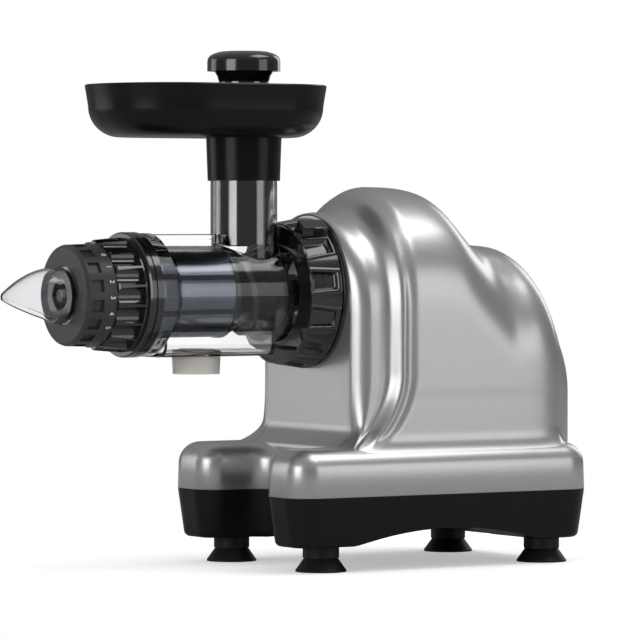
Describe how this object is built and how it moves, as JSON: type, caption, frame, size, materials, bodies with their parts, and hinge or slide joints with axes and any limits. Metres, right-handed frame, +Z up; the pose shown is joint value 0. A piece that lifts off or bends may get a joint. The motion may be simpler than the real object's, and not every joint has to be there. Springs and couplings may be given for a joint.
{
  "type": "cold press juicer",
  "caption": "Horizontal cold press juicer: clear drum with slow auger, oval feed tray and pusher, numbered adjusting dial, outlet nozzle, silver motor housing on suction feet.",
  "frame": {"origin": "centre of the overall box at table level, under the feet", "axes": "+X from the outlet nozzle towards the motor housing, along the drum axis; +Y to the far side; +Z up"},
  "size_m": [0.4, 0.1652, 0.3364],
  "materials": {
    "silver_plastic": "satin metallic",
    "black_plastic": "gloss",
    "clear_plastic": "clear",
    "frosted_plastic": "frosted",
    "dark_plastic": "satin",
    "steel_mesh": "perforated",
    "rubber": "matte",
    "steel": "machined",
    "gear_plastic": "moulded",
    "cast_alloy": "die cast",
    "copper_winding": "enamelled wire",
    "capacitor_plastic": "moulded"
  },
  "bodies": {
    "juicer_body": {"base_pan": "black_plastic", "base_screws": "steel", "cord_gland": "black_plastic", "cover_screws": "steel", "cradle_screws": "steel", "drum": "clear_plastic", "drum_seal": "rubber", "drum_socket": "black_plastic", "front_panel": "silver_plastic", "front_winding": "copper_winding", "gearbox_case": "cast_alloy", "gearbox_cover": "cast_alloy", "idler_bearing_front": "steel", "idler_bearing_rear": "steel", "juice_spout": "frosted_plastic", "motor_bearing_front": "steel", "motor_bearing_rear": "steel", "motor_bolts": "steel", "motor_cradle": "steel", "motor_front_bracket": "cast_alloy", "motor_rear_bracket": "cast_alloy", "output_bearing_front": "steel", "output_bearing_rear": "steel", "rear_winding": "copper_winding", "rubber_isolator_1": "rubber", "rubber_isolator_2": "rubber", "rubber_isolator_3": "rubber", "rubber_isolator_4": "rubber", "run_capacitor": "capacitor_plastic", "screen_frame": "dark_plastic", "screen_mesh": "steel_mesh", "shaft_seal": "rubber", "socket_screws": "steel", "stator": "steel", "suction_foot_1": "rubber", "suction_foot_2": "rubber", "suction_foot_3": "rubber", "suction_foot_4": "rubber", "switch_body": "black_plastic", "upper_housing": "silver_plastic"},
    "lock_ring": {"drum_lock_ring": "black_plastic"},
    "drum_cap": {"drum_cap": "black_plastic", "outlet_nozzle": "clear_plastic"},
    "dial": {"adjusting_dial": "black_plastic"},
    "hopper": {"hopper_tray": "black_plastic"},
    "pusher": {"pusher_body": "black_plastic", "pusher_knob": "black_plastic"},
    "auger_drive": {"auger": "dark_plastic", "output_shaft": "steel", "output_gear": "gear_plastic"},
    "idler": {"idler_shaft": "steel", "idler_gear": "gear_plastic"},
    "motor_rotor": {"rotor": "steel", "motor_pinion": "steel", "cooling_fan": "black_plastic"},
    "rocker": {"switch_rocker": "black_plastic"}
  },
  "joints": [
    {"name": "rotor_spin", "type": "hinge", "parent": "juicer_body", "child": "motor_rotor", "pos_m": [0.1275, 0, 0.14], "axis": [1, 0, 0], "continuous": true},
    {"name": "idler_spin", "type": "hinge", "parent": "juicer_body", "child": "idler", "pos_m": [0.0655, 0.03041, 0.13398], "axis": [1, 0, 0], "continuous": true},
    {"name": "auger_spin", "type": "hinge", "parent": "juicer_body", "child": "auger_drive", "pos_m": [0.0255, 0, 0.1786], "axis": [1, 0, 0], "continuous": true},
    {"name": "lock_ring_turn", "type": "hinge", "parent": "juicer_body", "child": "lock_ring", "pos_m": [0.0125, 0, 0.1786], "axis": [-1, 0, 0], "range_deg": [0, 60]},
    {"name": "cap_turn", "type": "hinge", "parent": "juicer_body", "child": "drum_cap", "pos_m": [-0.1245, 0, 0.1786], "axis": [-1, 0, 0], "range_deg": [0, 45]},
    {"name": "dial_turn", "type": "hinge", "parent": "drum_cap", "child": "dial", "pos_m": [-0.1455, 0, 0.1786], "axis": [1, 0, 0], "range_deg": [0, 150]},
    {"name": "hopper_lift", "type": "slide", "parent": "juicer_body", "child": "hopper", "axis": [0, 0, 1], "range_m": [0, 0.03]},
    {"name": "pusher_lift", "type": "slide", "parent": "hopper", "child": "pusher", "axis": [0, 0, 1], "range_m": [0, 0.105]},
    {"name": "rocker_tilt", "type": "hinge", "parent": "juicer_body", "child": "rocker", "pos_m": [0.1945, 0, 0.118], "axis": [0, 1, 0], "range_deg": [-10, 10]}
  ],
  "couplings": [
    {"joint": "idler_spin", "follows": "rotor_spin", "ratio": -0.24},
    {"joint": "auger_spin", "follows": "rotor_spin", "ratio": 0.057931}
  ]
}
